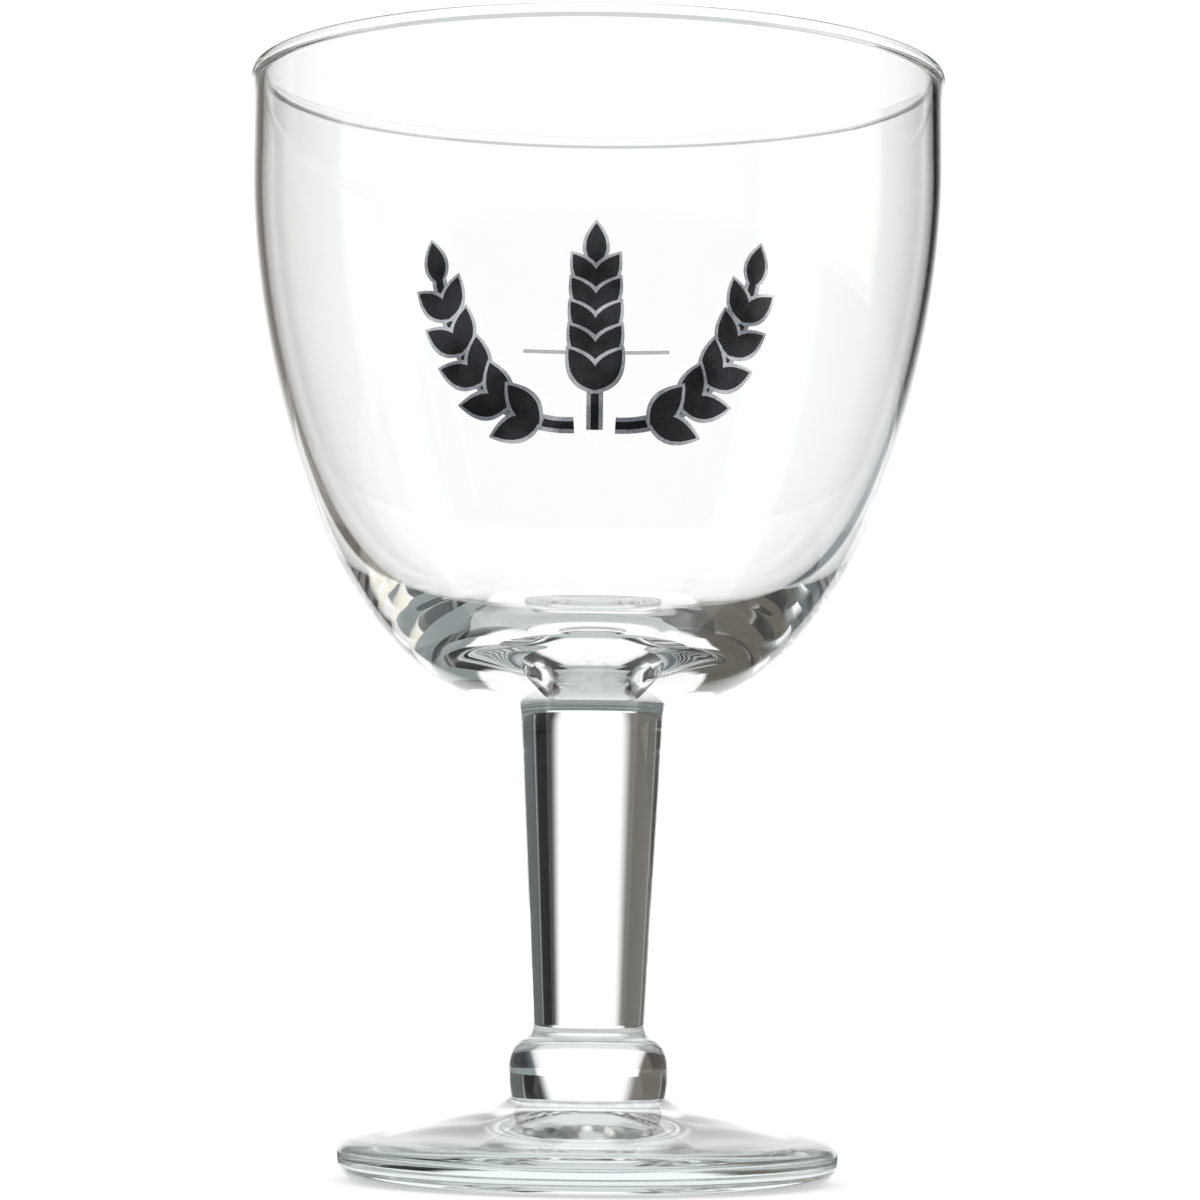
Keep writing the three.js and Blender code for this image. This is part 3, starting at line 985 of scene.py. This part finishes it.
barley_ear, given = new_tree(
    "Barley ear",
    ("Wall", "Geometry"),
    ("Along Wall", "Float"),
    ("Facing", "Float"),
    ("Start", "Vector"),
    ("Start Pull", "Vector"),
    ("End Pull", "Vector"),
    ("End", "Vector"),
    ("Bare Share", "Float"),
    ("Pairs", "Int"),
    ("Grain Length", "Float"),
    ("Grain Width", "Float"),
    ("Grain Root", "Float"),
    ("Grain Belly", "Float"),
    ("Spread", "Float"),
    ("Taper", "Float"),
    ("Stalk Width", "Float"),
    ("Margin", "Float"),
    ("Film", "Float"),
    ("Lift", "Float"),
    ("Lift Step", "Float"),
    ("Ink", "Material"),
)
margin = given.beside("Margin")
film = given.beside("Film")
grain_base = 0 - given.beside("Grain Root") - margin
grain_tip = given.beside("Grain Length") + margin
grain_belly = grain_base + (grain_tip - grain_base) * given.beside("Grain Belly")
grain_reach = given.beside("Grain Width") + margin * 2
place = Wire.made(barley_ear, "GeometryNodeInputPosition")
across, along, _ = split(barley_ear, place)
up = along + GRID_HALF
wide = up * (1 - up) * 2
leaf_x = across * 2 * wide * grain_reach
leaf_y = (1 - up) * (1 - up) * grain_base + wide * grain_belly + up * up * grain_tip
crown_across = 1 - (across * 2) ** CROWN_SQUARENESS
crown_along = (wide * 2) ** ROOT
leaf_top = joined(barley_ear, leaf_x, leaf_y, film * crown_across * crown_along)
leaf_under = joined(barley_ear, leaf_x, leaf_y, 0.0)
leaf_grid = Wire.made(
    barley_ear,
    "GeometryNodeMeshGrid",
    None,
    {"Size X": 1.0, "Size Y": 1.0, "Vertices X": GRAIN_ACROSS + 1, "Vertices Y": GRAIN_ALONG + 1},
)
top = Wire.made(barley_ear, "GeometryNodeSetPosition", None, {"Geometry": leaf_grid, "Position": leaf_top})
under_sockets = {"Geometry": leaf_grid, "Position": leaf_under}
under = Wire.made(barley_ear, "GeometryNodeSetPosition", None, under_sockets)
under = Wire.made(barley_ear, "GeometryNodeFlipFaces", None, {"Mesh": under})
pillow = Wire.made(barley_ear, "GeometryNodeJoinGeometry", None, {"Geometry": [top, under]})
grain = Wire.made(
    barley_ear, "GeometryNodeMergeByDistance", None, {"Geometry": pillow, "Distance": MERGE_DISTANCE}
)
stalk = Wire.made(
    barley_ear,
    "GeometryNodeCurvePrimitiveBezierSegment",
    {"mode": "POSITION"},
    {
        "Resolution": STALK_STEPS,
        "Start": given.beside("Start"),
        "Start Handle": given.beside("Start Pull"),
        "End Handle": given.beside("End Pull"),
        "End": given.beside("End"),
    },
)


def grains(count, share, lift, spread):
    """Grains on the stalk at a share of its length, turned from its direction by a spread."""
    sampled = {"Curves": stalk, "Factor": share}
    on_stalk = Wire.made(
        barley_ear, "GeometryNodeSampleCurve", {"mode": "FACTOR"}, sampled, "Position"
    )
    stalk_x, stalk_y, _ = split(barley_ear, on_stalk)
    run_x, run_y, _ = split(barley_ear, on_stalk.beside("Tangent"))
    heading = run_y.math("ARCTAN2", run_y, run_x) - math.pi / 2 + spread
    euler = joined(barley_ear, 0.0, 0.0, heading)
    size = 1 - given.beside("Taper") * share
    points = Wire.made(
        barley_ear,
        "GeometryNodePoints",
        None,
        {"Count": count, "Position": joined(barley_ear, stalk_x, stalk_y, lift)},
    )
    return Wire.made(
        barley_ear,
        "GeometryNodeInstanceOnPoints",
        None,
        {
            "Points": points,
            "Instance": grain,
            "Rotation": Wire.made(barley_ear, "FunctionNodeEulerToRotation", None, {"Euler": euler}),
            "Scale": joined(barley_ear, size, size, 1.0),
        },
    )


pairs = given.beside("Pairs")
number = Wire.made(barley_ear, "GeometryNodeInputIndex")
bare = given.beside("Bare Share")
pair_share = bare + (1 - bare) * number / pairs
pair_lift = given.beside("Lift") + (pairs - number) * given.beside("Lift Step")
spread = given.beside("Spread")
whole_stalk = Wire.made(barley_ear, "ShaderNodeValue")
whole_stalk.socket.default_value = 1.0
ribbon_edge = Wire.made(
    barley_ear,
    "GeometryNodeCurvePrimitiveCircle",
    {"mode": "RADIUS"},
    {"Resolution": STALK_SIDES, "Radius": 1.0},
)
ribbon_scale = joined(barley_ear, given.beside("Stalk Width") / 2 + margin, film / 2, 1.0)
ribbon_profile = Wire.made(
    barley_ear, "GeometryNodeTransform", None, {"Geometry": ribbon_edge, "Scale": ribbon_scale}
)
level_stalk = Wire.made(barley_ear, "GeometryNodeSetCurveNormal", {"mode": "Z_UP"}, {"Curve": stalk})
ribbon = Wire.made(
    barley_ear,
    "GeometryNodeCurveToMesh",
    None,
    {"Curve": level_stalk, "Profile Curve": ribbon_profile, "Fill Caps": True},
)
ribbon_lift = joined(barley_ear, 0.0, 0.0, given.beside("Lift") + film / 2)
ribbon_sockets = {"Geometry": ribbon, "Translation": ribbon_lift}
ribbon = Wire.made(barley_ear, "GeometryNodeTransform", None, ribbon_sockets)
all_grains = [
    grains(pairs, pair_share, pair_lift, spread),
    grains(pairs, pair_share, pair_lift, 0 - spread),
    grains(1, whole_stalk, given.beside("Lift"), 0.0),
]
flat_ear = Wire.made(barley_ear, "GeometryNodeJoinGeometry", None, {"Geometry": [*all_grains, ribbon]})
flat_ear = Wire.made(barley_ear, "GeometryNodeRealizeInstances", None, {"Geometry": flat_ear})
ear = Wire.made(
    barley_ear,
    "GeometryNodeGroup",
    {"node_tree": lay_on_wall},
    {
        "Film": flat_ear,
        "Wall": given.beside("Wall"),
        "Along Wall": given.beside("Along Wall"),
        "Facing": given.beside("Facing"),
    },
)
end_tree(barley_ear, ear, given.beside("Ink"))
print("tree:", barley_ear.name, len(barley_ear.nodes), "nodes")

# %% [markdown]
# ## Three ears on the bowl
# Two ears lean outwards like a wreath and one stands between them. Each is printed twice, silver first and
# black over it, as a printer lays one colour after the other. Mirroring one ear as a mesh would turn its
# faces inside out, so the left ear is grown from a mirrored stalk.

# %% The three ears
FRONT = 0.0
BACK = math.pi
MOTIF_RISE = weld + 44.8 * MM
OUTLINE_MARGIN = 0.55 * MM
GROUND_FILM = 0.01 * MM
PRINT_FILM = 0.02 * MM
GROUND_LIFT = 0.02 * MM
PRINT_LIFT = 0.032 * MM
LIFT_STEP = 0.036 * MM
GRAIN_SIZES = {
    "Pairs": 5,
    "Grain Length": 6.2 * MM,
    "Grain Width": 3.2 * MM,
    "Grain Root": 0.5 * MM,
    "Grain Belly": 0.42,
    "Spread": 0.6,
    "Taper": 0.2,
    "Stalk Width": 1.0 * MM,
}
SIDE_STALK = [(2.6, -12.2), (10.5, -12.6), (17.6, -6.5), (20.4, 6.4)]
MIDDLE_STALK = [(0, -12.8), (0, -5.8), (0, 1.2), (0, 8.2)]
SIDE_BARE_SHARE = 0.17
MIDDLE_BARE_SHARE = 0.26


def along_wall(height):
    """How far up the outer wall's outline a height lies."""
    length = 0.0
    for low, high in zip(outer_wall, outer_wall[1:]):
        if high.y >= height:
            return length + (high - low).length * (height - low.y) / (high.y - low.y)
        length += (high - low).length
    return length


def printed(node, tree, sizes):
    name = node + "_enamel"
    piece = grown(name, tree, polyline(name, outer_wall), sizes)
    closed_up(piece)
    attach(piece, "root")
    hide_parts(node)


def make_ear(name, stalk, side, bare_share):
    controls = [(side * x * MM, y * MM, 0.0) for x, y in stalk]
    shared = dict(zip(("Start", "Start Pull", "End Pull", "End"), controls))
    shared |= GRAIN_SIZES
    shared |= {"Along Wall": along_wall(MOTIF_RISE), "Facing": FRONT, "Bare Share": bare_share}
    shared |= {"Lift Step": LIFT_STEP}
    ground = {"Margin": OUTLINE_MARGIN, "Film": GROUND_FILM, "Lift": GROUND_LIFT, "Ink": silver_enamel}
    ink = {"Margin": 0.0, "Film": PRINT_FILM, "Lift": PRINT_LIFT, "Ink": black_enamel}
    printed(name + "_ground", barley_ear, shared | ground)
    printed(name + "_print", barley_ear, shared | ink)


make_ear("ear_left", SIDE_STALK, -1, SIDE_BARE_SHARE)
make_ear("ear_middle", MIDDLE_STALK, 1, MIDDLE_BARE_SHARE)
make_ear("ear_right", SIDE_STALK, 1, SIDE_BARE_SHARE)

# %% [markdown]
# ## Fill line
# A short line on the back of the bowl shows how far to fill it. It is one stroke of enamel with rounded
# edges. A bent box would do from far off, but it would not follow the wall, so the stroke is drawn flat and
# laid on the wall by the same small tree as the ears.

# %% A tree that makes the fill line
FILL_RISE = weld + 52.6 * MM
FILL_LENGTH = 22.0 * MM
FILL_WIDTH = 0.6 * MM
FILL_FILM = 0.06 * MM
FILL_LIFT = 0.02 * MM
FILL_STEPS = 48

fill_stroke, given = new_tree(
    "Fill stroke",
    ("Wall", "Geometry"),
    ("Along Wall", "Float"),
    ("Facing", "Float"),
    ("Length", "Float"),
    ("Width", "Float"),
    ("Film", "Float"),
    ("Lift", "Float"),
    ("Ink", "Material"),
)
half = given.beside("Length") / 2
middle = given.beside("Lift") + given.beside("Film") / 2
stroke = Wire.made(
    fill_stroke,
    "GeometryNodeCurvePrimitiveLine",
    {"mode": "POINTS"},
    {"Start": joined(fill_stroke, 0 - half, 0.0, middle), "End": joined(fill_stroke, half, 0.0, middle)},
)
stroke_sockets = {"Curve": stroke, "Count": FILL_STEPS + 1}
stroke = Wire.made(fill_stroke, "GeometryNodeResampleCurve", None, stroke_sockets)
stroke = Wire.made(fill_stroke, "GeometryNodeSetCurveNormal", {"mode": "Z_UP"}, {"Curve": stroke})
stroke_edge = Wire.made(
    fill_stroke,
    "GeometryNodeCurvePrimitiveCircle",
    {"mode": "RADIUS"},
    {"Resolution": STALK_SIDES, "Radius": 1.0},
)
stroke_scale = joined(fill_stroke, given.beside("Width") / 2, given.beside("Film") / 2, 1.0)
stroke_profile = Wire.made(
    fill_stroke, "GeometryNodeTransform", None, {"Geometry": stroke_edge, "Scale": stroke_scale}
)
flat_line = Wire.made(
    fill_stroke,
    "GeometryNodeCurveToMesh",
    None,
    {"Curve": stroke, "Profile Curve": stroke_profile, "Fill Caps": True},
)
line = Wire.made(
    fill_stroke,
    "GeometryNodeGroup",
    {"node_tree": lay_on_wall},
    {
        "Film": flat_line,
        "Wall": given.beside("Wall"),
        "Along Wall": given.beside("Along Wall"),
        "Facing": given.beside("Facing"),
    },
)
end_tree(fill_stroke, line, given.beside("Ink"))
fill_sizes = {"Length": FILL_LENGTH, "Width": FILL_WIDTH, "Film": FILL_FILM, "Lift": FILL_LIFT}
fill_place = {"Along Wall": along_wall(FILL_RISE), "Facing": BACK, "Ink": pale_enamel}
printed("fill_line", fill_stroke, fill_sizes | fill_place)
